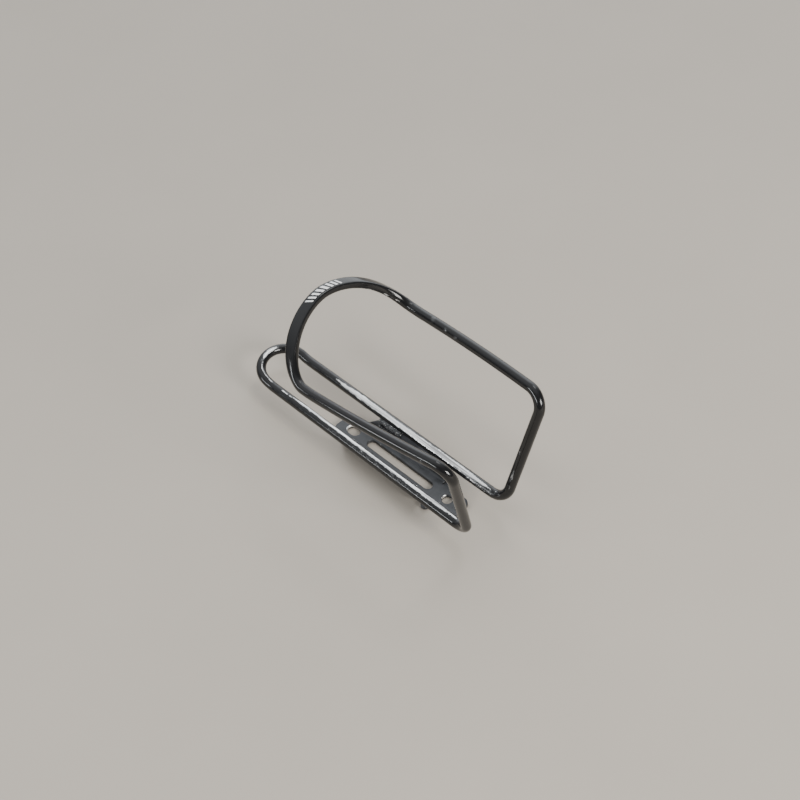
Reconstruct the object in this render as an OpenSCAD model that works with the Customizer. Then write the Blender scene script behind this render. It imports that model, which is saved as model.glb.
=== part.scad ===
// Bicycle water bottle cage: one bent rod, a stamped mounting plate and four weld beads.
// Frame: origin midway between the two bolt holes, on the plate face that sits on the frame tube.
// +Z points away from the tube towards the bottle, +Y up the tube towards the bottle's mouth, +X to the right.

/* [Rod] */
// Diameter of the round rod
rod_d = 5; // [4:0.1:5.5]
// Height of the back rods' centreline above the tube face
rod_height = 10.6; // [10:0.1:13]
// Distance between the two back rods, centre to centre
back_spacing = 24; // [23:0.5:27]

/* [Upper loop] */
// Y where the back rods start to lean towards the bottle
upper_bend_y = 78.5; // [70:0.5:90]
// Angle by which the upper loop leans towards the bottle
upper_tilt = 15; // [10:1:25]
// Distance from the lean's corner to the start of the half circle
upper_leg = 3; // [2:0.5:6]

/* [Bottle seat] */
// Y of the lower corner, where the rod turns away from the tube
lower_corner_y = -57.5; // [-65:0.5:-50]
// Centreline radius of the lower corner
lower_bend_r = 10; // [7:0.5:12]
// Half the distance between the two front corners
front_corner_x = 28.5; // [24:0.5:32]
// Y of the front corners
front_corner_y = -67; // [-72:0.5:-60]
// Height of the front corners above the back rods' centreline
front_corner_z = 62; // [55:0.5:68]
// Centreline radius of the front corners
front_bend_r = 8; // [6:0.5:12]

/* [Front] */
// Outward offset of the corner that each front rod's long, gentle bow rounds off
front_bow = 1.5; // [0.8:0.1:2.5]
// Height of the bottle's axis above the back rods' centreline
axis_height = 37.4; // [36:0.1:40]
// Centreline radius of the front loop about the bottle's axis
loop_r = 38.9; // [38:0.1:41]
// Angle from the middle of the loop to its ends, about the bottle's axis
loop_angle = 62; // [58:1:70]
// Y where the loop starts
loop_y = 19; // [10:0.5:30]
// How far the loop's middle reaches above its start, along Y
loop_rise = 22; // [16:0.5:30]
// Fullness of the loop's shoulders, 2 is an ellipse
shoulder_power = 1.6; // [1.5:0.1:2.4]
// Fullness of the loop's crown, 2 is an ellipse
crown_power = 1.8; // [1.5:0.1:2.4]
// Width of the pressed flat part of the loop
flat_w = 6.1; // [5.5:0.1:8]
// Thickness of the pressed flat part of the loop
flat_t = 4.2; // [3:0.1:4.5]

/* [Mounting plate] */
// Distance between the two bolt holes
bolt_spacing = 64; // [60:0.5:68]
// Diameter of the round hole and width of the slotted one
bolt_hole_d = 5.2; // [5.1:0.1:6]
// Overall length of the slotted upper hole
bolt_slot_l = 7.2; // [7:0.1:9]
// Thickness of the plate
plate_t = 2; // [1.5:0.1:2.2]
// Overall length of the plate
plate_l = 83; // [80:1:90]
// Width of the plate's two end tongues
tongue_w = 12.4; // [11.5:0.1:13]
// Length of the lightening slot
slot_l = 43; // [30:1:46]
// Width of the lightening slot
slot_w = 4.6; // [3.5:0.1:5]
// Angle of the wings that rise to the rods
wing_angle = 65; // [60:1:72]
// Inside radius of the fold between web and wing
fold_r = 1.5; // [1:0.1:2]
// Y of the wings' upper end, where they meet the rods
wing_top_y = 21; // [18:0.5:24]
// Y of the wings' lower end
wing_bottom_y = -23.5; // [-26:0.5:-20]
// Width across the two small ears below the wings
ear_w = 22; // [18:0.5:24]

/* [Hidden] */

LEFT = -1;
RIGHT = 1;
round_fn = 64;
long_arc_fn = 4000;
shoulder_r = 60;
shoulder_leg = 4;

rod_r = rod_d / 2;
rod_x = back_spacing / 2;
axis_z = rod_height + axis_height;
loop_x = loop_r * sin(loop_angle);
loop_z = axis_z + loop_r * cos(loop_angle);

// Corner points of the rod's centreline on the right side, from the upper loop round to the front loop
tilt_dir = [0, cos(upper_tilt), sin(upper_tilt)];
tilt_corner = [rod_x, upper_bend_y, rod_height];
loop_centre = [0, upper_bend_y, rod_height] + upper_leg * tilt_dir;
upper_end = [rod_x, loop_centre.y, loop_centre.z];
lower_corner = [rod_x, lower_corner_y, rod_height];
front_corner = [front_corner_x, front_corner_y, rod_height + front_corner_z];
shoulder_corner = [loop_x, loop_y - shoulder_leg, loop_z];
loop_start = [loop_x, loop_y, loop_z];
// The bow runs between the front corner's bend and the shoulder's, so its corner lies midway between those
front_setback = setback(lower_corner, front_corner, shoulder_corner, front_bend_r);
shoulder_setback = setback(front_corner, shoulder_corner, loop_start, shoulder_r);
bow_corner = (front_corner + shoulder_corner) / 2 + [front_bow, 0, 0]
    + (front_setback - shoulder_setback) / 2 * unit(shoulder_corner - front_corner);
front_arc_r = radius_for(lower_corner, front_corner, bow_corner, front_setback);
bow_r = radius_for(front_corner, bow_corner, shoulder_corner, norm(bow_corner - front_corner) - front_setback);
lean_r = radius_for(lower_corner, tilt_corner, upper_end, upper_leg);

black = "#1c1c1f";
worn_black = "#2b2b2e";
plate_grey = "#33373c";

// ---- Bent rod: straight runs and bends -------------------------------------------------------

function unit(v) = v / norm(v);
function turn_angle(a, b, c) = acos(unit(b - a) * unit(c - b));
function setback(a, b, c, r) = r * tan(turn_angle(a, b, c) / 2);
function radius_for(a, b, c, length) = length / tan(turn_angle(a, b, c) / 2);
function bend_start(a, b, c, r) = b + setback(a, b, c, r) * unit(a - b);
function bend_end(a, b, c, r) = b + setback(a, b, c, r) * unit(c - b);

// A straight run of rod from p to q
module straight_rod(p, q) {
    d = q - p;
    translate(p)
        rotate([0, acos(d.z / norm(d)), atan2(d.y, d.x)])
            cylinder(h = norm(d), r = rod_r, $fn = round_fn);
}

// The bend of centreline radius r that rounds the corner b between a and c
module bent_rod(a, b, c, r, fn = 4 * round_fn) {
    turn = turn_angle(a, b, c);
    start = bend_start(a, b, c, r);
    centre = b + r / cos(turn / 2) * unit(unit(a - b) + unit(c - b));
    ex = unit(start - centre);
    ey = unit(b - a);
    ez = cross(ex, ey);
    multmatrix([
        [ex.x, ey.x, ez.x, centre.x],
        [ex.y, ey.y, ez.y, centre.y],
        [ex.z, ey.z, ez.z, centre.z],
        [0, 0, 0, 1]])
        rotate_extrude(angle = turn, $fn = fn)
            translate([r, 0])
                circle(r = rod_r, $fn = round_fn);
}

// Mirrors a right-hand shape to the side asked for
module on_side(side) {
    mirror([side == LEFT ? 1 : 0, 0, 0]) children();
}

module upper_loop() {
    color(worn_black)
        translate(loop_centre)
            rotate([upper_tilt, 0, 0])
                rotate_extrude(angle = 180, $fn = round_fn)
                    translate([rod_x, 0])
                        circle(r = rod_r, $fn = round_fn);
}

module upper_bend(side) {
    color(worn_black)
        on_side(side)
            bent_rod(lower_corner, tilt_corner, upper_end, lean_r);
}

module back_rod(side) {
    color(worn_black)
        on_side(side)
            straight_rod(
                bend_start(lower_corner, tilt_corner, upper_end, lean_r),
                bend_start(tilt_corner, lower_corner, front_corner, lower_bend_r));
}

module lower_bend(side) {
    color(worn_black)
        on_side(side)
            bent_rod(tilt_corner, lower_corner, front_corner, lower_bend_r);
}

module seat_rod(side) {
    color(black)
        on_side(side)
            straight_rod(
                bend_end(tilt_corner, lower_corner, front_corner, lower_bend_r),
                bend_start(lower_corner, front_corner, bow_corner, front_arc_r));
}

module front_bend(side) {
    color(black)
        on_side(side)
            bent_rod(lower_corner, front_corner, bow_corner, front_arc_r);
}

module front_rod(side) {
    color(black)
        on_side(side)
            bent_rod(front_corner, bow_corner, shoulder_corner, bow_r, long_arc_fn);
}

// ---- Front loop: rod that follows the bottle and is pressed flat over its crown ---------------

section_sides = 28;
shoulder_steps = 3;
arch_steps = 26;
press_from = 12;
press_to = 50;
// Squareness of the pressed section's outer face and of its back, 2 is round
face_power = 5;
back_power = 2.3;

function smooth(t) = let (u = max(0, min(1, t))) u * u * (3 - 2 * u);
function pressed(phi) = smooth((phi - press_from) / (press_to - press_from));
function mix(a, b, t) = a + (b - a) * t;

// Point of the arch at phi, 0 at the loop's start and 90 at its crown
function arch_point(phi) =
    let (a = loop_angle * pow(cos(phi), 2 / shoulder_power))
    [loop_r * sin(a), loop_y + loop_rise * pow(sin(phi), 2 / crown_power), axis_z + loop_r * cos(a)];

// Point on the slight bend between the front rod and the loop's start, t from 0 to 1
function shoulder_point(t) =
    let (
        turn = turn_angle(bow_corner, shoulder_corner, loop_start),
        start = bend_start(bow_corner, shoulder_corner, loop_start, shoulder_r),
        centre = shoulder_corner + shoulder_r / cos(turn / 2)
            * unit(unit(bow_corner - shoulder_corner) + unit(loop_start - shoulder_corner)),
        ex = unit(start - centre),
        ey = unit(shoulder_corner - bow_corner))
    centre + shoulder_r * (cos(t * turn) * ex + sin(t * turn) * ey);

half_path = concat(
    [[bend_end(front_corner, bow_corner, shoulder_corner, bow_r), 0]],
    [for (i = [1 : shoulder_steps]) [shoulder_point(i / shoulder_steps), 0]],
    [for (i = [0 : arch_steps]) let (phi = 90 * i / arch_steps) [arch_point(phi), pressed(phi)]]);
half_count = len(half_path);
function mirror_x(p) = [-p.x, p.y, p.z];
loop_path = concat(
    half_path,
    [for (i = [half_count - 2 : -1 : 0]) [mirror_x(half_path[i][0]), half_path[i][1]]]);

// Signed power, used to square up the pressed section
function spow(v, e) = sign(v) * pow(abs(v), e);

// Ring of section points round station i of the loop's path
function loop_ring(i) =
    let (
        n = len(loop_path),
        p = loop_path[i][0],
        press = loop_path[i][1],
        first = i == 0 ? unit(shoulder_corner - bow_corner) : undef,
        along = i == 0 ? first
            : i == n - 1 ? -mirror_x(unit(shoulder_corner - bow_corner))
            : unit(loop_path[i + 1][0] - loop_path[i - 1][0]),
        radial = [p.x, 0, p.z - axis_z],
        out = unit(radial - (radial * along) * along),
        side = cross(along, out))
    [for (k = [0 : section_sides - 1])
        let (
            a = 360 * k / section_sides,
            e = 2 / mix(2, cos(a) > 0 ? face_power : back_power, press))
        p + mix(rod_d, flat_t, press) / 2 * spow(cos(a), e) * out
          + mix(rod_d, flat_w, press) / 2 * spow(sin(a), e) * side];

module front_loop() {
    n = len(loop_path);
    s = section_sides;
    points = [for (i = [0 : n - 1]) each loop_ring(i)];
    walls = [for (i = [0 : n - 2], k = [0 : s - 1])
        [i * s + k, i * s + (k + 1) % s, (i + 1) * s + (k + 1) % s, (i + 1) * s + k]];
    start_cap = [[for (k = [s - 1 : -1 : 0]) k]];
    end_cap = [[for (k = [0 : s - 1]) (n - 1) * s + k]];
    color(black)
        polyhedron(points = points, faces = concat(start_cap, walls, end_cap), convexity = 6);
}

// ---- Mounting plate ---------------------------------------------------------------------------

fold_out_r = fold_r + plate_t;
fold_mid_r = fold_r + plate_t / 2;
// Half width of the flat web, so that each wing's middle plane points at its rod's centre
web_x = rod_x - fold_mid_r * sin(wing_angle)
    - (rod_height - fold_out_r + fold_mid_r * cos(wing_angle)) / tan(wing_angle);
wing_len = (rod_height - fold_out_r + fold_mid_r * cos(wing_angle)) / sin(wing_angle);
hole_y = bolt_spacing / 2;
tongue_corner_r = 4;
ear_l = 4.4;
ear_slit = 0.6;
ear_y = wing_bottom_y - ear_slit - ear_l / 2;
shoulder_run = 12.5;
wing_reach = rod_x + 2;
cut_h = 40;
hole_fn = 48;

// Folded cross-section of the plate, seen along Y: web, folds and wings
module fold_section() {
    translate([-web_x, 0])
        square([2 * web_x, plate_t]);
    for (side = [LEFT, RIGHT])
        mirror([side == LEFT ? 1 : 0, 0])
            translate([web_x, fold_out_r]) {
                intersection() {
                    difference() {
                        circle(r = fold_out_r, $fn = round_fn);
                        circle(r = fold_r, $fn = round_fn);
                    }
                    translate([0, -2 * fold_out_r])
                        square([2 * fold_out_r, 2 * fold_out_r]);
                    rotate(wing_angle - 90)
                        translate([0, -2 * fold_out_r])
                            square([2 * fold_out_r, 2 * fold_out_r]);
                }
                rotate(wing_angle - 90)
                    translate([fold_r, 0])
                        square([plate_t, wing_len]);
            }
}

// Plan outline of the folded blank: two tongues with the wings between them
module plan_outline() {
    half_l = plate_l / 2;
    half_w = tongue_w / 2;
    for (side = [-1, 1], end = [-1, 1])
        translate([side * (half_w - tongue_corner_r), end * (half_l - tongue_corner_r)])
            circle(r = tongue_corner_r, $fn = hole_fn);
    translate([-half_w, -half_l + tongue_corner_r])
        square([tongue_w, plate_l - 2 * tongue_corner_r]);
    translate([-half_w + tongue_corner_r, -half_l])
        square([tongue_w - 2 * tongue_corner_r, plate_l]);
    slope = shoulder_run / (rod_x - half_w);
    polygon([
        [-half_w, wing_top_y + shoulder_run],
        [-wing_reach, wing_top_y - (wing_reach - rod_x) * slope],
        [-wing_reach, wing_bottom_y],
        [wing_reach, wing_bottom_y],
        [wing_reach, wing_top_y - (wing_reach - rod_x) * slope],
        [half_w, wing_top_y + shoulder_run]]);
}

// A flat bar of length l and width w with round ends, lying along Y
module round_bar(l, w, h) {
    for (end = [-1, 1])
        translate([0, end * (l - w) / 2, 0])
            cylinder(h = h, d = w, $fn = hole_fn);
    translate([-w / 2, -(l - w) / 2, 0])
        cube([w, l - w, h]);
}

module rod_clearance() {
    for (side = [LEFT, RIGHT])
        on_side(side)
            straight_rod([rod_x, -plate_l / 2, rod_height], [rod_x, plate_l / 2, rod_height]);
}

module mounting_plate() {
    color(plate_grey)
        difference() {
            union() {
                intersection() {
                    translate([0, plate_l / 2 + 1, 0])
                        rotate([90, 0, 0])
                            linear_extrude(plate_l + 2)
                                fold_section();
                    translate([0, 0, -1])
                        linear_extrude(cut_h)
                            plan_outline();
                }
                translate([0, ear_y, 0])
                    rotate([0, 0, 90])
                        round_bar(ear_w, ear_l, plate_t);
            }
            rod_clearance();
            translate([0, -hole_y, -1])
                cylinder(h = cut_h, d = bolt_hole_d, $fn = hole_fn);
            translate([0, hole_y, -1])
                round_bar(bolt_slot_l, bolt_hole_d, cut_h);
            translate([0, 0, -1])
                round_bar(slot_l, slot_w, cut_h);
        }
}

// ---- Weld beads in the nook between each wing and its rod ---------------------------------------

bead_r = 1.6;
ripple = 0.2;
bead_pitch = 1.5;
// The nook is where the wing's inner face meets the rod
nook_t = sqrt(rod_r * rod_r - plate_t * plate_t / 4);
nook_x = rod_x - plate_t / 2 * sin(wing_angle) - nook_t * cos(wing_angle);
nook_z = rod_height + plate_t / 2 * cos(wing_angle) - nook_t * sin(wing_angle);
bead_x = nook_x - 0.75;
bead_z = nook_z - 0.1;
upper_weld_y = [8, 23];
lower_weld_y = [-22.5, -12];

// Radius of each puddle along a bead, thinner at both ends
function puddle_r(i, n) = bead_r - (i == 0 || i == n - 1 ? 3 * ripple : ripple * (i % 2));

// A run of ripples from y0 to y1, cut back to the plate and the rod
module weld_bead(side, span) {
    n = round((span[1] - span[0]) / bead_pitch);
    step = (span[1] - span[0]) / n;
    color(plate_grey)
        on_side(side)
            difference() {
                translate([bead_x, span[0], bead_z])
                    rotate([-90, 0, 0])
                        rotate_extrude($fn = round_fn)
                            polygon(concat(
                                [[0, 0]],
                                [for (i = [0 : n - 1]) each [
                                    [puddle_r(i, n), i * step],
                                    [puddle_r(i, n), (i + 1) * step]]],
                                [[0, n * step]]));
                rod_clearance();
                translate([0, plate_l / 2, 0])
                    rotate([90, 0, 0])
                        linear_extrude(plate_l)
                            fold_section();
            }
}

mounting_plate();
upper_loop();
upper_bend(LEFT);  // upper_bend_left
upper_bend(RIGHT);  // upper_bend_right
back_rod(LEFT);  // back_rod_left
back_rod(RIGHT);  // back_rod_right
lower_bend(LEFT);  // lower_bend_left
lower_bend(RIGHT);  // lower_bend_right
seat_rod(LEFT);  // seat_rod_left
seat_rod(RIGHT);  // seat_rod_right
front_bend(LEFT);  // front_bend_left
front_bend(RIGHT);  // front_bend_right
front_rod(LEFT);  // front_rod_left
front_rod(RIGHT);  // front_rod_right
front_loop();
weld_bead(LEFT, upper_weld_y);  // weld_upper_left
weld_bead(RIGHT, upper_weld_y);  // weld_upper_right
weld_bead(LEFT, lower_weld_y);  // weld_lower_left
weld_bead(RIGHT, lower_weld_y);  // weld_lower_right
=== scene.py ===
"""Looks of the bicycle water bottle cage: bent rod, folded mounting plate, weld beads, printed stripes.

Lengths in the shape code are millimetres, and make_mesh() turns them into Blender's metres. The frame is the
part's own: +Z out of the frame tube towards the bottle, +Y towards the bottle's mouth, +X to the right.
"""

import math

import bmesh
import bpy
import numpy as np
from mathutils import Matrix, Vector, noise
from mathutils.geometry import delaunay_2d_cdt


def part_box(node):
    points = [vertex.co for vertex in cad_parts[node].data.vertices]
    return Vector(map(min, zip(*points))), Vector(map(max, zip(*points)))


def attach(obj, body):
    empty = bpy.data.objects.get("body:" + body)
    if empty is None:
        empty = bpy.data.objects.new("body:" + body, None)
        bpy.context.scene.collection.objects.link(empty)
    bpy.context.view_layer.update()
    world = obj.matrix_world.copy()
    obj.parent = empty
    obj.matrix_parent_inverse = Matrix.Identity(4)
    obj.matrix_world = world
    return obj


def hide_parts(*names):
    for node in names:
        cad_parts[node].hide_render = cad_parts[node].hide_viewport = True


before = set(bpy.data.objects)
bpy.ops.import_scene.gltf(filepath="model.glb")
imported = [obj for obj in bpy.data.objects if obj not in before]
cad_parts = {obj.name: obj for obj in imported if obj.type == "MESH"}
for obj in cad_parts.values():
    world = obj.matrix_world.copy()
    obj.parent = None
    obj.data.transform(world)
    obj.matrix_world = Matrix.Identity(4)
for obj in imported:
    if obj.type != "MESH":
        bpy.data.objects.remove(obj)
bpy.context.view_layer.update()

MM = 0.001
BODY = "root"


def node_box(node):
    """Lowest and highest corners of a CAD node, in millimetres."""
    low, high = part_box(node)
    return np.array(low) / MM, np.array(high) / MM


# ---- Driving dimensions: read from the frame where it has them, else the part's own values -----------

rod_low, rod_high = node_box("back_rod_right")
ROD_R = (rod_high[0] - rod_low[0]) / 2
ROD_X = (rod_high[0] + rod_low[0]) / 2
ROD_Z = (rod_high[2] + rod_low[2]) / 2
PLATE_HALF_L = node_box("mounting_plate")[1][1]

# The rod's corners, lean and bends. A corner is where two straight runs would meet.
UPPER_BEND_Y = 78.5
UPPER_TILT = math.radians(15)
UPPER_LEG = 3.0
LOWER_CORNER_Y = -57.5
LOWER_BEND_R = 10.0
FRONT_CORNER = np.array([28.5, -67.0, ROD_Z + 62.0])
FRONT_BEND_R = 8.0
FRONT_BOW = 1.5

# The front loop runs round the bottle's axis, and rises towards the mouth as it nears its crown
AXIS_Z = ROD_Z + 37.4
LOOP_R = 38.9
LOOP_ANGLE = math.radians(62)
LOOP_Y = 19.0
LOOP_RISE = 22.0
SHOULDER_POWER = 1.6
CROWN_POWER = 1.8
SHOULDER_R = 60.0
SHOULDER_LEG = 4.0

# The loop's section is pressed flat towards the crown: its size there, and where the pressing starts and ends
FLAT_W = 6.1
FLAT_T = 4.16
PRESS_FROM = math.radians(12)
PRESS_TO = math.radians(50)
FLAT_FACE_POWER = 5.0
FLAT_BACK_POWER = 2.3

PLATE_T = 2.0
FOLD_R = 1.5
WING_ANGLE = math.radians(65)
TONGUE_W = 12.4
TONGUE_CORNER_R = 4.0
BOLT_Y = 32.0
BOLT_D = 5.2
BOLT_SLOT_L = 7.2
SLOT_L = 43.0
SLOT_W = 4.6
WING_TOP_Y = 21.0
WING_SHOULDER_Y = 33.5
WING_BOTTOM_Y = -23.5
EAR_W = 22.0
EAR_L = 4.4
EAR_SLIT = 0.6
EAR_CORNER_R = 1.2
WING_FOOT_R = 0.8
WING_TOP_R = 1.2
WING_SHOULDER_R = 3.0


# ---- Small geometry helpers --------------------------------------------------------------------------

def unit(v):
    return v / np.linalg.norm(v)


def smooth(t):
    t = np.clip(t, 0, 1)
    return t * t * (3 - 2 * t)


def turn_angle(a, b, c):
    return math.acos(np.clip(np.dot(unit(b - a), unit(c - b)), -1, 1))


def fillet(a, b, c, r, step=0.1):
    """Points on the arc of radius r that rounds corner b between a and c."""
    turn = turn_angle(a, b, c)
    start = b + r * math.tan(turn / 2) * unit(a - b)
    centre = b + r / math.cos(turn / 2) * unit(unit(a - b) + unit(c - b))
    ex, ey = unit(start - centre), unit(b - a)
    angles = np.linspace(0, turn, max(6, int(r * turn / step)))
    return [centre + r * (math.cos(q) * ex + math.sin(q) * ey) for q in angles]


def resample(points, values, step):
    """The polyline at even steps of about step, with values interpolated along it, and the arc length."""
    length = np.r_[0, np.cumsum(np.linalg.norm(np.diff(points, axis=0), axis=1))]
    s = np.linspace(0, length[-1], int(length[-1] / step) + 1)
    even = np.stack([np.interp(s, length, points[:, k]) for k in range(3)], axis=1)
    return even, np.interp(s, length, values), s


def grid_faces(columns, rows, first=0, close_columns=True, close_rows=False):
    """Quads over a grid of vertices laid out row by row from vertex first. A closed direction joins its last
    line of vertices to its first."""
    return [(first + r * columns + c, first + r * columns + (c + 1) % columns,
             first + (r + 1) % rows * columns + (c + 1) % columns, first + (r + 1) % rows * columns + c)
            for r in range(rows if close_rows else rows - 1)
            for c in range(columns if close_columns else columns - 1)]


def ring_faces(ring, following):
    """Quads between two closed rings of the same number of vertices."""
    count = len(ring)
    return [(ring[i], following[i], following[(i + 1) % count], ring[(i + 1) % count]) for i in range(count)]


def make_mesh(name, verts, faces, material, smooth_shading=True):
    """A mesh object from vertices in millimetres, riding on the part."""
    mesh = bpy.data.meshes.new(name)
    mesh.from_pydata([tuple(v) for v in np.asarray(verts) * MM], [], faces)
    mesh.validate()
    mesh.polygons.foreach_set("use_smooth", [smooth_shading] * len(mesh.polygons))
    mesh.materials.append(material)
    obj = bpy.data.objects.new(name, mesh)
    bpy.context.scene.collection.objects.link(obj)
    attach(obj, BODY)
    return obj


def outward_normals(obj):
    bm = bmesh.new()
    bm.from_mesh(obj.data)
    bmesh.ops.recalc_face_normals(bm, faces=bm.faces)
    bm.to_mesh(obj.data)
    bm.free()


def float_attribute(obj, name, values):
    obj.data.attributes.new(name, "FLOAT", "POINT").data.foreach_set("value", np.asarray(values, np.float32))


# ---- Materials ---------------------------------------------------------------------------------------

class Shader:
    """A thin wrapper that makes node code short enough to read."""

    def __init__(self, name):
        self.material = bpy.data.materials.new(name)
        self.material.use_nodes = True
        self.tree = self.material.node_tree
        self.bsdf = self.tree.nodes["Principled BSDF"]

    def node(self, kind, **inputs):
        made = self.tree.nodes.new("ShaderNode" + kind)
        for key, value in inputs.items():
            if key in made.inputs:
                self.feed(made.inputs[key], value)
            else:
                setattr(made, key, value)
        return made

    def feed(self, socket, value):
        if isinstance(value, bpy.types.NodeSocket):
            self.tree.links.new(value, socket)
        else:
            socket.default_value = value

    def math(self, operation, *values, clamp=False):
        made = self.node("Math", operation=operation, use_clamp=clamp)
        for socket, value in zip(made.inputs, values):
            self.feed(socket, value)
        return made.outputs[0]

    def ramp(self, value, low, high, out_low=0.0, out_high=1.0):
        """value mapped smoothly from low..high to out_low..out_high."""
        made = self.node("MapRange", interpolation_type="SMOOTHSTEP")
        for socket, v in zip(made.inputs, (value, low, high, out_low, out_high)):
            self.feed(socket, v)
        return made.outputs[0]

    def mix(self, factor, a, b):
        made = self.node("Mix", data_type="RGBA")
        for index, value in ((0, factor), (6, a), (7, b)):
            self.feed(made.inputs[index], value)
        return made.outputs[2]

    def blend(self, factor, a, b):
        made = self.node("Mix", data_type="FLOAT")
        for index, value in ((0, factor), (2, a), (3, b)):
            self.feed(made.inputs[index], value)
        return made.outputs[0]

    def attribute(self, name, output="Fac"):
        return self.node("Attribute", attribute_name=name).outputs[output]

    def object_mm(self):
        """Object coordinates in millimetres."""
        scale = self.node("VectorMath", operation="SCALE")
        self.feed(scale.inputs[0], self.node("TexCoord").outputs["Object"])
        scale.inputs["Scale"].default_value = 1 / MM
        return scale.outputs[0]

    def stretched(self, vector, scale):
        made = self.node("VectorMath", operation="MULTIPLY")
        self.feed(made.inputs[0], vector)
        made.inputs[1].default_value = scale
        return made.outputs[0]

    def noise(self, vector, scale, detail=3.0, roughness=0.5, distortion=0.0):
        made = self.node("TexNoise", Scale=scale, Detail=detail, Roughness=roughness, Distortion=distortion)
        self.feed(made.inputs["Vector"], vector)
        return made.outputs[0]

    def bump(self, height, distance_mm, strength=1.0, normal=None):
        made = self.node("Bump", Strength=strength, Distance=distance_mm * MM, Height=height)
        if normal is not None:
            self.feed(made.inputs["Normal"], normal)
        return made.outputs[0]

    def finish(self, **inputs):
        for key, value in inputs.items():
            self.feed(self.bsdf.inputs[key.replace("_", " ")], value)
        return self.material


BARE_METAL = (0.93, 0.93, 0.92, 1)
GRIMY_METAL = (0.36, 0.36, 0.36, 1)
# Scuffed, oxidised metal scatters part of its light, so it isn't a full mirror
BARE_METALLIC = 0.5
BLACK_PAINT = (0.0085, 0.0085, 0.009, 1)
DULL_PAINT = (0.035, 0.036, 0.037, 1)
PRIMER = (0.14, 0.145, 0.15, 1)


def rod_material():
    """Gloss black paint, worn through to scratched metal where the part's own wear value is high."""
    m = Shader("rod_paint_worn")
    along = m.attribute("rod_mm", "Vector")
    space = m.object_mm()
    wear = m.attribute("wear")

    ragged = m.noise(m.stretched(along, (0.30, 0.85, 0.85)), 1.0, 5.0, 0.62)
    flakes = m.noise(space, 1.1, 3.0, 0.6)
    field = m.math("ADD", wear, m.math("MULTIPLY", m.math("SUBTRACT", ragged, 0.5), 1.8))
    field = m.math("ADD", field, m.math("MULTIPLY", m.math("SUBTRACT", flakes, 0.5), 1.0))
    bare = m.ramp(field, 0.02, 0.08)
    lip = m.ramp(field, -0.26, 0.0)
    dulled = m.ramp(field, -0.60, 0.05)

    scratch = m.noise(m.stretched(along, (0.05, 3.2, 3.2)), 1.0, 5.0, 0.7)
    streak = m.noise(m.stretched(along, (0.035, 1.1, 1.1)), 1.0, 2.0, 0.5)
    pits = m.noise(space, 1.7, 4.0, 0.7)
    smudge = m.noise(space, 0.12, 3.0, 0.6)
    grain = m.noise(space, 6.0, 2.0, 0.6)
    blister_and_highlight = m.attribute("blister_and_highlight")

    metal = m.mix(m.ramp(streak, 0.36, 0.58), GRIMY_METAL, BARE_METAL)
    metal = m.mix(m.ramp(pits, 0.64, 0.76, 0.0, 0.75), metal, GRIMY_METAL)
    paint = m.mix(m.math("MULTIPLY", dulled, 0.45), BLACK_PAINT, DULL_PAINT)
    paint = m.mix(m.math("MULTIPLY", lip, 0.7), paint, PRIMER)
    # Painted highlight: the blisters' paint is lightened towards primer, besides the real bump they get below
    paint = m.mix(m.math("MULTIPLY", blister_and_highlight, 0.3), paint, PRIMER)
    colour = m.mix(bare, paint, metal)

    paint_rough = m.math("ADD", m.ramp(smudge, 0.35, 0.70, 0.11, 0.19), m.math("MULTIPLY", dulled, 0.14))
    metal_rough = m.ramp(scratch, 0.3, 0.7, 0.24, 0.38)
    height = m.math("SUBTRACT", m.math("MULTIPLY", scratch, 0.06), bare)
    bumped = m.bump(height, 0.07, 0.8)
    bumped = m.bump(m.noise(space, 0.9, 2.0, 0.5), 0.012, 0.5, bumped)
    bumped = m.bump(blister_and_highlight, 0.16, 0.8, bumped)
    bumped = m.bump(grain, 0.004, 0.5, bumped)
    return m.finish(
        Base_Color=colour, Metallic=m.math("MULTIPLY", bare, BARE_METALLIC),
        Roughness=m.blend(bare, paint_rough, metal_rough), Normal=bumped, Specular_IOR_Level=0.42)


def plate_material():
    """Satin black sheet, dusty, with chips along its edges and crescents rubbed by the bolt heads."""
    m = Shader("plate_paint_satin")
    space = m.object_mm()
    edge = m.attribute("edge")
    rubbed = m.attribute("rubbed")
    chips = m.noise(space, 0.55, 4.0, 0.65)
    cloud = m.noise(space, 0.16, 4.0, 0.6)
    dust = m.noise(space, 3.2, 2.0, 0.7)
    field = m.math("ADD", m.math("MULTIPLY", edge, 0.15), m.math("MULTIPLY", rubbed, 0.45))
    bare = m.ramp(m.math("ADD", field, chips), 0.80, 0.86)
    paint = m.mix(m.ramp(cloud, 0.35, 0.65), (0.024, 0.026, 0.029, 1), (0.050, 0.053, 0.058, 1))
    paint = m.mix(m.ramp(dust, 0.64, 0.78, 0.0, 0.5), paint, (0.16, 0.165, 0.17, 1))
    colour = m.mix(bare, paint, BARE_METAL)
    bumped = m.bump(m.math("SUBTRACT", 0.0, bare), 0.07, 0.8)
    bumped = m.bump(m.noise(space, 2.4, 3.0, 0.6), 0.02, 0.7, bumped)
    return m.finish(
        Base_Color=colour, Metallic=bare,
        Roughness=m.blend(bare, m.ramp(cloud, 0.3, 0.7, 0.36, 0.50), 0.32), Normal=bumped)


def weld_material():
    """Painted weld metal with a coarse crust that glitters in places."""
    m = Shader("weld_paint_crust")
    space = m.object_mm()
    crust = m.noise(space, 1.3, 4.0, 0.7)
    speck = m.noise(space, 2.3, 2.0, 0.7)
    bare = m.ramp(speck, 0.60, 0.66)
    paint = m.mix(m.ramp(crust, 0.3, 0.7), (0.012, 0.013, 0.014, 1), (0.055, 0.058, 0.062, 1))
    colour = m.mix(bare, paint, BARE_METAL)
    bumped = m.bump(crust, 0.55, 1.0)
    bumped = m.bump(speck, 0.18, 0.9, bumped)
    return m.finish(Base_Color=colour, Metallic=bare, Roughness=m.blend(bare, 0.30, 0.22), Normal=bumped)


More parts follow.
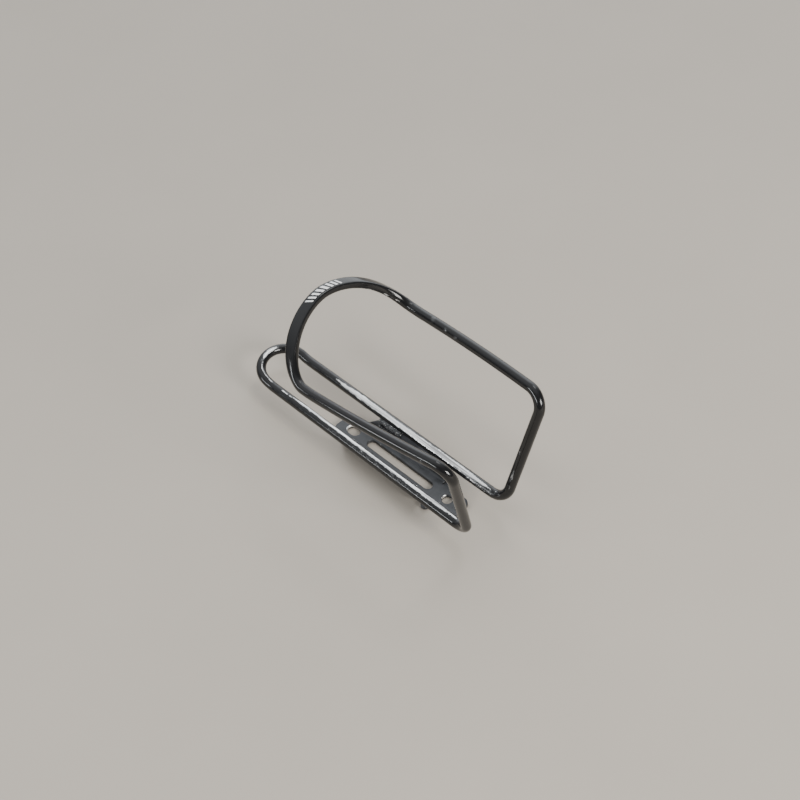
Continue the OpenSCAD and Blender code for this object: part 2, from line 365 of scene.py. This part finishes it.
def print_material():
    """White screen print, thin and slightly rubbed."""
    m = Shader("stripe_print_white")
    space = m.object_mm()
    rubbed = m.ramp(m.noise(space, 2.2, 4.0, 0.7), 0.60, 0.72)
    colour = m.mix(rubbed, (0.96, 0.96, 0.95, 1), (0.70, 0.70, 0.69, 1))
    bumped = m.bump(m.noise(space, 5.0, 2.0, 0.6), 0.01, 0.6)
    return m.finish(Base_Color=colour, Roughness=0.42, Normal=bumped)


def floor_material():
    """Plain pale matt board."""
    m = Shader("floor_pale")
    space = m.object_mm()
    tone = m.noise(space, 0.006, 4.0, 0.6)
    colour = m.mix(tone, (0.44, 0.395, 0.335, 1), (0.50, 0.450, 0.385, 1))
    bumped = m.bump(m.noise(space, 0.8, 3.0, 0.6), 0.05, 0.3)
    return m.finish(Base_Color=colour, Roughness=0.72, Normal=bumped)


# ---- The rod's centreline ----------------------------------------------------------------------------

def half_centreline():
    """The right half of the closed rod, from the upper loop's middle round to the front loop's crown.
    Also gives how far the rod is pressed flat at each point, from 0 to 1."""
    tilt = np.array([0, math.cos(UPPER_TILT), math.sin(UPPER_TILT)])
    lean_corner = np.array([ROD_X, UPPER_BEND_Y, ROD_Z])
    arch_centre = np.array([0, UPPER_BEND_Y, ROD_Z]) + UPPER_LEG * tilt
    arch_end = arch_centre + np.array([ROD_X, 0, 0])
    lower_corner = np.array([ROD_X, LOWER_CORNER_Y, ROD_Z])
    loop_start = np.array([LOOP_R * math.sin(LOOP_ANGLE), LOOP_Y, AXIS_Z + LOOP_R * math.cos(LOOP_ANGLE)])
    shoulder = loop_start - np.array([0, SHOULDER_LEG, 0])
    front_setback = FRONT_BEND_R * math.tan(turn_angle(lower_corner, FRONT_CORNER, shoulder) / 2)
    shoulder_setback = SHOULDER_R * math.tan(turn_angle(FRONT_CORNER, shoulder, loop_start) / 2)
    bow = (FRONT_CORNER + shoulder) / 2 + np.array([FRONT_BOW, 0, 0]) \
        + (front_setback - shoulder_setback) / 2 * unit(shoulder - FRONT_CORNER)
    bow_setback = np.linalg.norm(bow - FRONT_CORNER) - front_setback

    def radius_for(a, b, c, setback):
        return setback / math.tan(turn_angle(a, b, c) / 2)

    points = [arch_centre + ROD_X * (math.cos(q) * np.array([1, 0, 0]) + math.sin(q) * tilt)
              for q in np.linspace(math.pi / 2, 0, 200)[:-1]]
    points += fillet(arch_end, lean_corner, lower_corner,
                     radius_for(arch_end, lean_corner, lower_corner, UPPER_LEG))
    points += fillet(lean_corner, lower_corner, FRONT_CORNER, LOWER_BEND_R)
    points += fillet(lower_corner, FRONT_CORNER, bow,
                     radius_for(lower_corner, FRONT_CORNER, bow, front_setback))
    points += fillet(FRONT_CORNER, bow, shoulder,
                     radius_for(FRONT_CORNER, bow, shoulder, bow_setback))
    points += fillet(bow, shoulder, loop_start, SHOULDER_R)
    pressed = [0.0] * len(points)
    for phi in np.linspace(0, math.pi / 2, 600)[1:]:
        around = LOOP_ANGLE * max(math.cos(phi), 0) ** (2 / SHOULDER_POWER)
        points.append(np.array([
            LOOP_R * math.sin(around),
            LOOP_Y + LOOP_RISE * math.sin(phi) ** (2 / CROWN_POWER),
            AXIS_Z + LOOP_R * math.cos(around)]))
        pressed.append(float(smooth((phi - PRESS_FROM) / (PRESS_TO - PRESS_FROM))))
    return np.array(points), np.array(pressed)


def pressed_half_sizes(pressed):
    """Half thickness and half width of the section, for how far it is pressed flat."""
    return ROD_R + (FLAT_T / 2 - ROD_R) * pressed, ROD_R + (FLAT_W / 2 - ROD_R) * pressed


class Rod:
    """The closed centreline at even steps, with the directions that carry its section.
    out points away from the bottle's axis, side runs across the rod, s is the distance from the upper loop's
    middle: positive on the right half, negative on the left."""

    STEP = 0.6

    def __init__(self):
        half, pressed, s = resample(*half_centreline(), self.STEP)
        left = slice(-2, 0, -1)
        self.point = np.concatenate([half, half[left] * [-1, 1, 1]])
        self.pressed = np.concatenate([pressed, pressed[left]])
        self.s = np.concatenate([s, -s[left]])
        self.length = s[-1]
        tangent = np.roll(self.point, -1, axis=0) - np.roll(self.point, 1, axis=0)
        self.tangent = tangent / np.linalg.norm(tangent, axis=1)[:, None]
        radial = self.point - [0, 0, AXIS_Z]
        radial[:, 1] = 0
        out = radial - (radial * self.tangent).sum(1)[:, None] * self.tangent
        self.out = out / np.linalg.norm(out, axis=1)[:, None]
        self.side = np.cross(self.tangent, self.out)

    def section(self, angle):
        """Offsets of the rod's skin along out and side at every station, for one angle round the section."""
        c, d = math.cos(angle), math.sin(angle)
        power = 2 + ((FLAT_FACE_POWER if c > 0 else FLAT_BACK_POWER) - 2) * self.pressed
        half_t, half_w = pressed_half_sizes(self.pressed)
        return (half_t * np.sign(c) * abs(c) ** (2 / power), half_w * np.sign(d) * abs(d) ** (2 / power))


# Where the bottle has worn the paint away, as (s, from angle, to angle) in millimetres and degrees.
# Angles count round the section from the side away from the bottle, so 180 faces it.
WEAR_BANDS = [
    [(45, 178, 184), (51, 166, 202), (62, 152, 208), (90, 158, 213), (110, 155, 216), (122, 150, 212),
     (130, 148, 208), (136, 154, 204), (141, 160, 200), (145, 166, 192), (149, 172, 182)],
    [(-39, 167, 174), (-46, 162, 196), (-60, 160, 201), (-80, 160, 197), (-110, 158, 201), (-138, 157, 204),
     (-150, 166, 186)],
]
# Degrees over which a band's wear fades in from its edge
EDGE_SOFTNESS = 22
# Chips: (s, angle, length, half width, how bare in the middle), in millimetres and degrees
CHIPS = [
    (327, 234, 2.4, 0.3, 0.0), (317, 236, 2.6, 0.3, 0.0), (310, 240, 3.0, 0.35, 0.1),
    (187, 170, 2.0, 0.35, -0.2), (182, 167, 2.4, 0.35, -0.2), (174, 186, 4.0, 0.5, -0.1),
    (-1, 199, 11, 1.0, 1.5), (-12.5, 182, 5.0, 0.35, 0.5), (-17, 179, 5.5, 0.3, 0.5),
    (-21, 172, 4.0, 0.3, 0.3), (-31.5, 163, 2.0, 0.3, 0.3), (-34, 162, 2.4, 0.3, 0.3),
    (-37, 164, 2.6, 0.35, 0.4),
]
# How steeply a chip's wear falls off towards its rim
CHIP_SLOPE = 1.5
# Scuffed areas where the paint is dulled, and near level 0 mottled with primer and metal: (s, angle, length,
# half width, wear in the middle), in millimetres and degrees
SCUFFS = [
    (85, 180, 170, 3.4, -0.50), (-85, 180, 170, 3.4, -0.50), (-100, 126, 110, 1.7, -0.32),
    (-8, 185, 9, 1.2, -0.15), (171, 192, 9.0, 1.1, -0.18), (166, 201, 5.0, 1.3, -0.25),
    (153, 206, 14, 2.2, -0.15), (143, 222, 26, 1.8, -0.18), (318, 236, 36, 1.0, -0.30),
]
# Blisters under the paint, raised as bumps whose paint is also lightened towards primer as a painted
# highlight: (s, angle, radius) in millimetres and degrees
BLISTERS = [(287, 279, 1.5), (278, 257, 0.9), (271, 236, 0.9), (24, 250, 0.8), (-228, 30, 0.8)]


def degrees_from(angle_deg, middle):
    """The angle between two directions round the section, from 0 to 180 degrees."""
    return np.abs((angle_deg - middle + 180) % 360 - 180)


def spot_reach(s, angle_deg, at, middle, length, half_width):
    """0 at the middle of an oval spot on the rod's skin and 1 at its rim."""
    across = degrees_from(angle_deg, middle) / math.degrees(half_width / ROD_R)
    return np.hypot((s - at) / (length / 2), across)


def wear_field(s, angle_deg):
    """How far each spot is worn: above 0 the metal shows, and -1 is untouched paint."""
    s, angle_deg = np.broadcast_arrays(s, angle_deg)
    field = np.full(s.shape, -1.0)
    for band in WEAR_BANDS:
        at, low, high = np.array(sorted(band), float).T
        inside_angle = np.minimum(angle_deg - np.interp(s, at, low), np.interp(s, at, high) - angle_deg)
        beyond = np.maximum(np.maximum(at[0] - s, s - at[-1]), 0) / ROD_R
        field = np.maximum(field, inside_angle / EDGE_SOFTNESS - beyond)
    for *spot, bareness in CHIPS:
        reach = spot_reach(s, angle_deg, *spot)
        field = np.maximum(field, np.minimum(bareness, CHIP_SLOPE * (1 - reach)))
    for *spot, level in SCUFFS:
        reach = spot_reach(s, angle_deg, *spot)
        field = np.maximum(field, -1 + (1 + level) * smooth(2 * (1 - reach)))
    return np.clip(field, -1.0, 1.0)


def blister_field(s, angle_deg):
    """Height of the blisters, 1 at the middle of each. It raises their bumps and also lightens their paint as
    a painted highlight.
    """
    height = np.zeros(np.broadcast(s, angle_deg).shape)
    for at, middle, radius in BLISTERS:
        across = np.radians(degrees_from(angle_deg, middle)) * ROD_R
        height = np.maximum(height, smooth(1.25 - np.hypot(s - at, across) / radius))
    return height


def build_rod(rod, material, sides=64):
    angles = np.arange(sides) * 2 * math.pi / sides
    rings = []
    for angle in angles:
        out, side = rod.section(angle)
        rings.append(rod.point + out[:, None] * rod.out + side[:, None] * rod.side)
    verts = np.stack(rings, axis=1)
    faces = grid_faces(sides, len(rod.point), close_rows=True)
    obj = make_mesh("rod_frame", verts.reshape(-1, 3), faces, material)
    outward_normals(obj)

    degrees = np.degrees(angles)[None, :]
    float_attribute(obj, "wear", wear_field(rod.s[:, None], degrees).ravel())
    float_attribute(obj, "blister_and_highlight", blister_field(rod.s[:, None], degrees).ravel())

    # The straightened position of each face corner, so that scratches run along the rod round every bend.
    vertex = np.zeros(len(obj.data.loops), int)
    obj.data.loops.foreach_get("vertex_index", vertex)
    station, corner = vertex // sides, vertex % sides
    s = rod.s[station]
    of_face = s.reshape(-1, 4)
    seam = of_face.max(1) - of_face.min(1) > rod.length
    s = np.where(np.repeat(seam, 4) & (s < 0), s + 2 * rod.length, s)
    straight = np.stack([s, ROD_R * np.cos(angles[corner]), ROD_R * np.sin(angles[corner])], axis=1)
    obj.data.attributes.new("rod_mm", "FLOAT_VECTOR", "CORNER").data.foreach_set(
        "vector", straight.astype(np.float32).ravel())
    return obj


# ---- Printed stripes on the crown of the front loop --------------------------------------------------

STRIPE_WIDTHS = [0.9, 1.1, 1.3, 1.5, 1.5, 1.3, 1.1, 0.9]
STRIPE_GAP = 1.15
STRIPE_HEIGHT = 3.3
STRIPE_SLANT = 1.6
STRIPE_LIFT = 0.01
STRIPE_COLUMNS = 6
STRIPE_ROWS = 7


def build_stripes(rod, material):
    """Slanted bars of falling width that follow the loop's flat face."""
    total = sum(STRIPE_WIDTHS) + STRIPE_GAP * (len(STRIPE_WIDTHS) - 1)
    crown = int(np.argmax(rod.s))
    verts, faces = [], []

    def on_face(along, across):
        """A point of the flat face, along the rod from the crown and across it."""
        index = crown + along / Rod.STEP
        i = int(math.floor(index))
        t = index - i

        def between(values):
            return (1 - t) * values[i] + t * values[i + 1]

        press = between(rod.pressed)
        power = 2 + (FLAT_FACE_POWER - 2) * press
        half_t, half_w = pressed_half_sizes(press)
        height = half_t * (1 - abs(across / half_w) ** power) ** (1 / power)
        return between(rod.point) + (height + STRIPE_LIFT) * between(rod.out) + across * between(rod.side)

    at = -total / 2
    for width in STRIPE_WIDTHS:
        base = len(verts)
        for r in range(STRIPE_ROWS):
            across = STRIPE_HEIGHT * (r / (STRIPE_ROWS - 1) - 0.5)
            slant = STRIPE_SLANT * (r / (STRIPE_ROWS - 1) - 0.5)
            for c in range(STRIPE_COLUMNS):
                verts.append(on_face(at + width * c / (STRIPE_COLUMNS - 1) + slant, across))
        faces += grid_faces(STRIPE_COLUMNS, STRIPE_ROWS, base, close_columns=False)
        at += width + STRIPE_GAP
    obj = make_mesh("printed_stripes", verts, faces, material)
    skin = obj.modifiers.new("thickness", "SOLIDIFY")
    skin.thickness = STRIPE_LIFT * MM
    skin.offset = 0
    return obj


# ---- Mounting plate ----------------------------------------------------------------------------------

FOLD_MID_R = FOLD_R + PLATE_T / 2
WING_RISE = ROD_Z - (FOLD_R + PLATE_T) + FOLD_MID_R * math.cos(WING_ANGLE)
WEB_X = ROD_X - FOLD_MID_R * math.sin(WING_ANGLE) - WING_RISE / math.tan(WING_ANGLE)
WING_START_U = WEB_X + FOLD_MID_R * WING_ANGLE
ROD_CENTRE_U = WING_START_U + WING_RISE / math.sin(WING_ANGLE)
WING_END_U = ROD_CENTRE_U - 0.55 * ROD_R
EDGE_ROUND = 0.4
SLIT_END_U = 5.0
# The sheet's faces are filled with a grid that keeps clear of every edge
GRID_STEP = 0.8
GRID_CLEAR = 0.45
GRID_HALF_U = 22
GRID_HALF_Y = 44


def folded(u, y, h):
    """Where a point of the flat blank goes once the wings are folded up.
    u runs across the blank, and h through the sheet."""
    side, w = (1 if u >= 0 else -1), abs(u)
    flat = y < WING_BOTTOM_Y - EAR_SLIT / 2
    turn = 0 if flat else min(max(w - WEB_X, 0) / FOLD_MID_R, WING_ANGLE)
    rest = max(w - WING_START_U, 0) if not flat else 0
    x = (w if turn == 0 else WEB_X + FOLD_MID_R * math.sin(turn)) + rest * math.cos(turn)
    z = PLATE_T / 2 + FOLD_MID_R * (1 - math.cos(turn)) + rest * math.sin(turn)
    return (side * (x - h * math.sin(turn)), y, z + h * math.cos(turn))


def rounded_outline(corners, step=0.45):
    """A closed outline through corners (u, y, radius), with each corner rounded and points at even steps."""
    line = []
    count = len(corners)
    for i, (u, y, r) in enumerate(corners):
        a = np.array([*corners[i - 1][:2], 0.0])
        b = np.array([u, y, 0.0])
        c = np.array([*corners[(i + 1) % count][:2], 0.0])
        line += fillet(a, b, c, r, 0.05)
    line = np.array(line + [line[0]])
    return resample(line, np.zeros(len(line)), step)[0][:-1, :2]


def round_bar(length, width, y, step=0.35):
    """Outline of a slot with round ends, centred on the plate's middle line."""
    r = width / 2
    half = length / 2
    return rounded_outline([(-r, y - half, r * 0.999), (r, y - half, r * 0.999),
                            (r, y + half, r * 0.999), (-r, y + half, r * 0.999)], step)


def blank_outline():
    half_w = TONGUE_W / 2
    ear_low = WING_BOTTOM_Y - EAR_SLIT - EAR_L
    right = [
        (half_w, -PLATE_HALF_L, TONGUE_CORNER_R),
        (half_w, ear_low, EAR_CORNER_R),
        (EAR_W / 2, ear_low, EAR_L * 0.49),
        (EAR_W / 2, WING_BOTTOM_Y - EAR_SLIT, EAR_L * 0.49),
        (SLIT_END_U, WING_BOTTOM_Y - EAR_SLIT, EAR_SLIT * 0.49),
        (SLIT_END_U, WING_BOTTOM_Y, EAR_SLIT * 0.49),
        (WING_END_U, WING_BOTTOM_Y, WING_FOOT_R),
        (WING_END_U, WING_TOP_Y, WING_TOP_R),
        (half_w, WING_SHOULDER_Y, WING_SHOULDER_R),
        (half_w, PLATE_HALF_L, TONGUE_CORNER_R)]
    return rounded_outline(right + [(-u, y, r) for u, y, r in reversed(right)])


def offset_loop(loop, distance):
    """The closed loop moved to its left by distance."""
    ahead = np.roll(loop, -1, axis=0) - np.roll(loop, 1, axis=0)
    ahead /= np.linalg.norm(ahead, axis=1)[:, None]
    return loop + distance * np.stack([-ahead[:, 1], ahead[:, 0]], axis=1)


def inside(points, loop):
    """Which points lie inside a closed loop."""
    x, y = points[:, 0:1], points[:, 1:2]
    a, b = loop, np.roll(loop, -1, axis=0)
    crosses = (a[:, 1] > y) != (b[:, 1] > y)
    with np.errstate(divide="ignore", invalid="ignore"):
        at = a[:, 0] + (y - a[:, 1]) * (b[:, 0] - a[:, 0]) / (b[:, 1] - a[:, 1])
    return (crosses & (x < at)).sum(1) % 2 == 1


def distance_to(points, loop):
    return np.sqrt(((points[:, None, :] - loop[None, :, :]) ** 2).sum(2)).min(1)


def rubbed_crescent(points, hole, width):
    """1 beside the hole's upper end, fading to 0 at width from it and towards the hole's sides."""
    from_hole = points - hole.mean(0)
    facing_up = from_hole[:, 1] / np.maximum(np.linalg.norm(from_hole, axis=1), 1e-6)
    return smooth((facing_up - 0.55) / 0.35) * np.clip(1.2 - distance_to(points, hole) / width, 0, 1)


def build_plate(material):
    outer = blank_outline()
    round_hole = round_bar(BOLT_D, BOLT_D, -BOLT_Y)
    slotted_hole = round_bar(BOLT_SLOT_L, BOLT_D, BOLT_Y)
    long_slot = round_bar(SLOT_L, SLOT_W, 0)
    # Every loop runs with the sheet on its left, so moving it left moves it into the sheet.
    rims = [outer, round_hole[::-1], slotted_hole[::-1], long_slot[::-1]]
    insets = [offset_loop(rim, EDGE_ROUND) for rim in rims]

    across = np.arange(-GRID_HALF_U, GRID_HALF_U + 0.01, GRID_STEP)
    along = np.arange(-GRID_HALF_Y, GRID_HALF_Y + 0.01, GRID_STEP)
    grid = np.stack(np.meshgrid(across, along), axis=2).reshape(-1, 2)
    keep = inside(grid, insets[0]) & (distance_to(grid, insets[0]) > GRID_CLEAR)
    for inset in insets[1:]:
        keep &= ~inside(grid, inset) & (distance_to(grid, inset) > GRID_CLEAR)
    flat = np.concatenate(insets + [grid[keep]])
    edges, start, starts = [], 0, []
    for inset in insets:
        n = len(inset)
        edges += [(start + i, start + (i + 1) % n) for i in range(n)]
        starts.append(start)
        start += n
    cut = delaunay_2d_cdt([Vector(p) for p in flat], edges, [], 0, 1e-5)
    triangles, origin = cut[2], cut[3]
    to_input = [o[0] for o in origin]
    triangles = np.array([[to_input[i] for i in t] for t in triangles])
    middle = flat[triangles].mean(1)
    keep = inside(middle, insets[0])
    for inset in insets[1:]:
        keep &= ~inside(middle, inset)
    triangles = triangles[keep]

    n = len(flat)
    half = PLATE_T / 2
    blank = [(u, y, half) for u, y in flat] + [(u, y, -half) for u, y in flat]
    edge = [0.0] * (2 * n)
    faces = [tuple(t) for t in triangles] + [tuple(t[::-1] + n) for t in triangles]
    quarter = [math.pi / 8 * k for k in range(1, 5)]
    profile = [(EDGE_ROUND * math.sin(q), half - EDGE_ROUND * (1 - math.cos(q))) for q in quarter]
    profile += [(o, -h) for o, h in reversed(profile)]
    for rim, inset, first in zip(rims, insets, starts):
        count = len(inset)
        outward = (rim - inset) / EDGE_ROUND
        previous = [first + i for i in range(count)]
        for o, h in profile:
            ring = list(range(len(blank), len(blank) + count))
            blank += [(*(inset[i] + o * outward[i]), h) for i in range(count)]
            edge += [1.0] * count
            faces += ring_faces(previous, ring)
            previous = ring
        last = [first + n + i for i in range(count)]
        faces += ring_faces(previous, last)

    blank = np.array(blank)
    verts = [folded(u, y, h) for u, y, h in blank]
    obj = make_mesh("plate_folded", verts, faces, material)
    outward_normals(obj)
    float_attribute(obj, "edge", edge)
    rubbed = np.maximum(0.6 * rubbed_crescent(blank[:, :2], round_hole, 0.5),
                        rubbed_crescent(blank[:, :2], slotted_hole, 0.9))
    float_attribute(obj, "rubbed", rubbed * (blank[:, 2] > half * 0.5))
    return obj


# ---- Weld beads --------------------------------------------------------------------------------------

BEAD_R = 1.6
BEAD_RIPPLE = 1.5
SPATTER_DROPS = 26
# noise_vector() starts from the clock unless it is seeded, and the drops have to fall alike on every run
SPATTER_SEED = 1
SPATTER_START = 1.0
SPATTER_SPREAD = 6.0
SPATTER_MIN_R = 0.22
SPATTER_MORE_R = 0.45
DROP_RINGS = 5
DROP_SPOKES = 10
# How far the sheet's face reaches from the rod's middle to the rod's skin, along the wing
NOOK = math.sqrt(ROD_R ** 2 - (PLATE_T / 2) ** 2)
BEAD_X = ROD_X - PLATE_T / 2 * math.sin(WING_ANGLE) - NOOK * math.cos(WING_ANGLE) - 0.75
BEAD_Z = ROD_Z + PLATE_T / 2 * math.cos(WING_ANGLE) - NOOK * math.sin(WING_ANGLE) - 0.1
WELD_NODES = ["weld_upper_left", "weld_upper_right", "weld_lower_left", "weld_lower_right"]


def drop_skin(x, y, z, r, side):
    """Vertices of a small ball, mirrored to the given side of the part."""
    verts = []
    for q in range(DROP_RINGS + 1):
        for k in range(DROP_SPOKES):
            a, b = math.pi * q / DROP_RINGS, 2 * math.pi * k / DROP_SPOKES
            verts.append((side * (x + r * math.sin(a) * math.cos(b)), y + r * math.sin(a) * math.sin(b),
                          z + r * math.cos(a)))
    return verts


def build_weld(node, material, around=36, step=0.22):
    """A lumpy run of puddles in the nook between wing and rod, with a few drops of spatter beside it."""
    low, high = node_box(node)
    side = 1 if low[0] + high[0] > 0 else -1
    y0, y1 = low[1], high[1]
    stations = int((y1 - y0) / step)
    seed = Vector((7.3 * side, 3.1 * y0, 5.7))
    verts = []
    for i in range(stations + 1):
        t = i / stations
        y = y0 + (y1 - y0) * t
        end = min(t, 1 - t) * (y1 - y0) / BEAD_R
        taper = math.sqrt(max(1 - (1 - min(end, 1)) ** 2, 0.0009))
        wave = ((y - y0) / BEAD_RIPPLE) % 1
        ripple = 1 - 0.13 * wave ** 2
        for k in range(around):
            a = 2 * math.pi * k / around
            p = Vector((math.cos(a), y, math.sin(a)))
            lump = 1 + 0.22 * noise.noise(p * 0.9 + seed) + 0.12 * noise.noise(p * 2.6 + seed)
            r = BEAD_R * taper * ripple * lump
            verts.append((side * (BEAD_X + r * math.cos(a)), y, BEAD_Z + r * math.sin(a)))
    faces = grid_faces(around, stations + 1)
    faces += [tuple(range(around))[::-1], tuple(stations * around + k for k in range(around))]

    for j in range(SPATTER_DROPS):
        spin = noise.noise_vector(seed + Vector((j * 3.7, j * 1.9, 0)))
        y = y0 + (y1 - y0) * (j + 0.5) / SPATTER_DROPS + spin.y
        down = SPATTER_START + SPATTER_SPREAD * abs(spin.x)
        x = BEAD_X - down * math.cos(WING_ANGLE) - 0.5
        z = BEAD_Z - down * math.sin(WING_ANGLE) - 0.4
        faces += grid_faces(DROP_SPOKES, DROP_RINGS + 1, len(verts))
        verts += drop_skin(x, y, z, SPATTER_MIN_R + SPATTER_MORE_R * abs(spin.z), side)
    obj = make_mesh(node + "_bead", verts, faces, material)
    bm = bmesh.new()
    bm.from_mesh(obj.data)
    bmesh.ops.remove_doubles(bm, verts=bm.verts, dist=1e-7)
    bmesh.ops.recalc_face_normals(bm, faces=bm.faces)
    bm.to_mesh(obj.data)
    bm.free()
    obj.data.polygons.foreach_set("use_smooth", [True] * len(obj.data.polygons))
    return obj


# ---- Put the object together -------------------------------------------------------------------------

rod = Rod()
rod_object = build_rod(rod, rod_material())
rod_nodes = [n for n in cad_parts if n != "mounting_plate" and n not in WELD_NODES]
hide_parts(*rod_nodes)

stripes = build_stripes(rod, print_material())

plate = build_plate(plate_material())
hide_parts("mounting_plate")

noise.seed_set(SPATTER_SEED)
weld_look = weld_material()
for weld_node in WELD_NODES:
    bead = build_weld(weld_node, weld_look)
    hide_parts(weld_node)


# ---- Floor, light and camera -------------------------------------------------------------------------

def stage_floor(half=40.0, drop=0.00005):
    mesh = bpy.data.meshes.new("floor")
    mesh.from_pydata([(-half, -half, -drop), (half, -half, -drop), (half, half, -drop), (-half, half, -drop)],
                     [], [(0, 1, 2, 3)])
    mesh.materials.append(floor_material())
    floor = bpy.data.objects.new("floor", mesh)
    bpy.context.scene.collection.objects.link(floor)


def direction(azimuth, elevation):
    """Unit vector towards an azimuth, counted from +Y towards +X, and an elevation, in degrees."""
    a, e = math.radians(azimuth), math.radians(elevation)
    return Vector((math.sin(a) * math.cos(e), math.cos(a) * math.cos(e), math.sin(e)))


# The point that the camera and the lamps look at
AIM = Vector((4.6, 0.3, 42.1)) * MM


def softbox(name, azimuth, elevation, distance, width, height, power, colour):
    """A rectangular area lamp aimed at the part: angles in degrees, lengths in metres, power in watts."""
    light = bpy.data.lights.new(name, "AREA")
    light.shape = "RECTANGLE"
    light.size, light.size_y = width, height
    light.energy = power
    light.color = colour
    lamp = bpy.data.objects.new(name, light)
    way = direction(azimuth, elevation)
    lamp.location = AIM + way * distance
    lamp.rotation_euler = way.to_track_quat("Z", "Y").to_euler()
    bpy.context.scene.collection.objects.link(lamp)


CAMERA_AZIMUTH = 219.575
CAMERA_ELEVATION = 46.067
CAMERA_ROLL = -5.926
CAMERA_DISTANCE = 0.6842
LENS_MM = 67.5
SENSOR_MM = 36.0


def place_camera():
    data = bpy.data.cameras.new("camera")
    data.lens, data.sensor_width = LENS_MM, SENSOR_MM
    camera = bpy.data.objects.new("camera", data)
    back = direction(CAMERA_AZIMUTH, CAMERA_ELEVATION)
    right = Vector((0, 0, 1)).cross(back).normalized()
    up = back.cross(right)
    turn = Matrix((right, up, back)).transposed().to_4x4()
    roll = Matrix.Rotation(math.radians(CAMERA_ROLL), 4, "Z")
    camera.matrix_world = Matrix.Translation(AIM + back * CAMERA_DISTANCE) @ turn @ roll
    bpy.context.scene.collection.objects.link(camera)
    bpy.context.scene.camera = camera


def studio_sky(base, glows):
    """A dim room with broad soft glows in it, each (azimuth, elevation, half width in degrees, strength)."""
    world = bpy.data.worlds.new("studio")
    world.use_nodes = True
    tree = world.node_tree
    way = tree.nodes.new("ShaderNodeTexCoord").outputs["Generated"]
    total = base
    for azimuth, elevation, half_width, strength in glows:
        facing = tree.nodes.new("ShaderNodeVectorMath")
        facing.operation = "DOT_PRODUCT"
        tree.links.new(way, facing.inputs[0])
        facing.inputs[1].default_value = direction(azimuth, elevation)
        fade = tree.nodes.new("ShaderNodeMapRange")
        fade.interpolation_type = "SMOOTHSTEP"
        tree.links.new(facing.outputs["Value"], fade.inputs["Value"])
        fade.inputs["From Min"].default_value = math.cos(math.radians(half_width))
        fade.inputs["To Max"].default_value = strength
        add = tree.nodes.new("ShaderNodeMath")
        add.operation = "ADD"
        tree.links.new(fade.outputs["Result"], add.inputs[0])
        if isinstance(total, bpy.types.NodeSocket):
            tree.links.new(total, add.inputs[1])
        else:
            add.inputs[1].default_value = total
        total = add.outputs[0]
    background = tree.nodes["Background"]
    background.inputs["Color"].default_value = (0.94, 0.97, 1.0, 1)
    tree.links.new(total, background.inputs["Strength"])
    bpy.context.scene.world = world


stage_floor()
studio_sky(0.15, [(54, 14, 50, 2.1), (15, 60, 72, 1.05)])
softbox("window_right", 179, 25, 1.6, 0.62, 0.58, 28, (1.0, 0.98, 0.95))
softbox("window_left", 284, 18, 1.6, 1.26, 0.20, 14, (0.96, 0.98, 1.0))
softbox("ceiling", 85, 64, 1.6, 0.42, 0.32, 3, (1.0, 1.0, 1.0))
place_camera()
